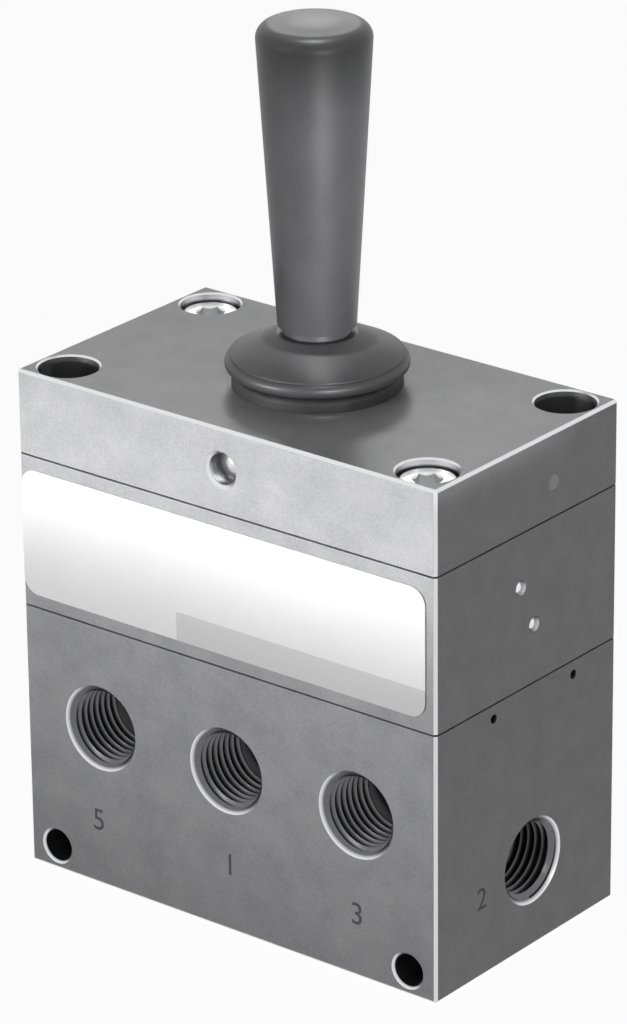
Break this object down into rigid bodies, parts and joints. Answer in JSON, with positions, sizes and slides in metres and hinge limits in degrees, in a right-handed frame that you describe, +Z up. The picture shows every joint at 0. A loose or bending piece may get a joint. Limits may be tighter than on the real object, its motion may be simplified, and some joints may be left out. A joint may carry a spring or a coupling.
{
  "type": "toggle lever valve",
  "caption": "Hand-operated air valve: a stacked block with threaded ports, two poppets and two pilot plungers worked by an upright toggle lever.",
  "frame": {"origin": "bottom centre of the block, on the base face", "axes": "+Z up along the upright lever, +X to the right seen from the face with three ports, -Y out of that face"},
  "size_m": [0.08, 0.0452, 0.139],
  "materials": {
    "body_casting": "matt anodised grey",
    "middle_casting": "matt anodised grey",
    "cover_casting": "matt anodised grey",
    "gasket": "matt",
    "label": "satin film with a pale grey bar",
    "screw_steel": "zinc plated",
    "ball_steel": "polished",
    "ring_rubber": "matt",
    "pin_steel": "ground",
    "dark_steel": "sintered, oiled",
    "lever_plastic": "satin black moulding",
    "brass": "turned",
    "seal_rubber": "moulded nitrile",
    "spring_steel": "drawn wire",
    "turned_aluminium": "turned"
  },
  "bodies": {
    "housing": {"valve_body": "body_casting", "body_gasket": "gasket", "pilot_block": "middle_casting", "cover_gasket": "gasket", "cover_plate": "cover_casting", "label_plate": "label", "long_screws": "screw_steel", "short_screws": "screw_steel", "ball_plugs": "ball_steel", "cover_plug": "cover_casting", "neck_ring": "ring_rubber", "pivot_pin": "pin_steel", "guide_bush_left": "brass", "guide_bush_right": "brass", "bush_rings_left": "seal_rubber", "bush_rings_right": "seal_rubber", "bush_clip_left": "spring_steel", "bush_clip_right": "spring_steel", "bottom_plug_left": "turned_aluminium", "bottom_plug_right": "turned_aluminium", "plug_ring_left": "seal_rubber", "plug_ring_right": "seal_rubber", "pilot_sleeve_left": "brass", "pilot_sleeve_right": "brass", "sleeve_rings_left": "seal_rubber", "sleeve_rings_right": "seal_rubber", "poppet_spring_left": "spring_steel", "poppet_spring_right": "spring_steel", "pilot_spring_left": "spring_steel", "pilot_spring_right": "spring_steel"},
    "lever": {"rocker": "dark_steel", "lever_rod": "pin_steel", "lever_skirt": "lever_plastic", "lever_handle": "lever_plastic"},
    "plunger_left": {"pilot_plunger_left": "pin_steel"},
    "poppet_left": {"poppet_stem_left": "pin_steel", "piston_left": "turned_aluminium", "piston_lip_left": "seal_rubber", "piston_nut_left": "pin_steel", "exhaust_disc_left": "brass", "exhaust_facing_left": "seal_rubber", "supply_disc_left": "brass", "supply_facing_left": "seal_rubber"},
    "plunger_right": {"pilot_plunger_right": "pin_steel"},
    "poppet_right": {"poppet_stem_right": "pin_steel", "piston_right": "turned_aluminium", "piston_lip_right": "seal_rubber", "piston_nut_right": "pin_steel", "exhaust_disc_right": "brass", "exhaust_facing_right": "seal_rubber", "supply_disc_right": "brass", "supply_facing_right": "seal_rubber"}
  },
  "joints": [
    {"name": "lever_tilt", "type": "hinge", "parent": "housing", "child": "lever", "pos_m": [0, 0.0007, 0.0763], "axis": [0, 1, 0], "range_deg": [-8, 8], "stiffness_Nm_per_rad": 1.5},
    {"name": "plunger_left_slide", "type": "slide", "parent": "housing", "child": "plunger_left", "axis": [0, 0, 1], "range_m": [-0.0015, 0.0015], "deforming": ["pilot_spring_left"]},
    {"name": "plunger_right_slide", "type": "slide", "parent": "housing", "child": "plunger_right", "axis": [0, 0, 1], "range_m": [-0.0015, 0.0015], "deforming": ["pilot_spring_right"]},
    {"name": "poppet_left_stroke", "type": "slide", "parent": "housing", "child": "poppet_left", "axis": [0, 0, -1], "range_m": [0, 0.002], "stiffness_N_per_m": 600, "springref_m": -0.005, "deforming": ["poppet_spring_left"]},
    {"name": "poppet_right_stroke", "type": "slide", "parent": "housing", "child": "poppet_right", "axis": [0, 0, -1], "range_m": [0, 0.002], "stiffness_N_per_m": 600, "springref_m": -0.005, "deforming": ["poppet_spring_right"]}
  ],
  "couplings": [
    {"joint": "plunger_right_slide", "follows": "lever_tilt", "m_per_rad": -0.01},
    {"joint": "plunger_left_slide", "follows": "lever_tilt", "m_per_rad": 0.01}
  ]
}
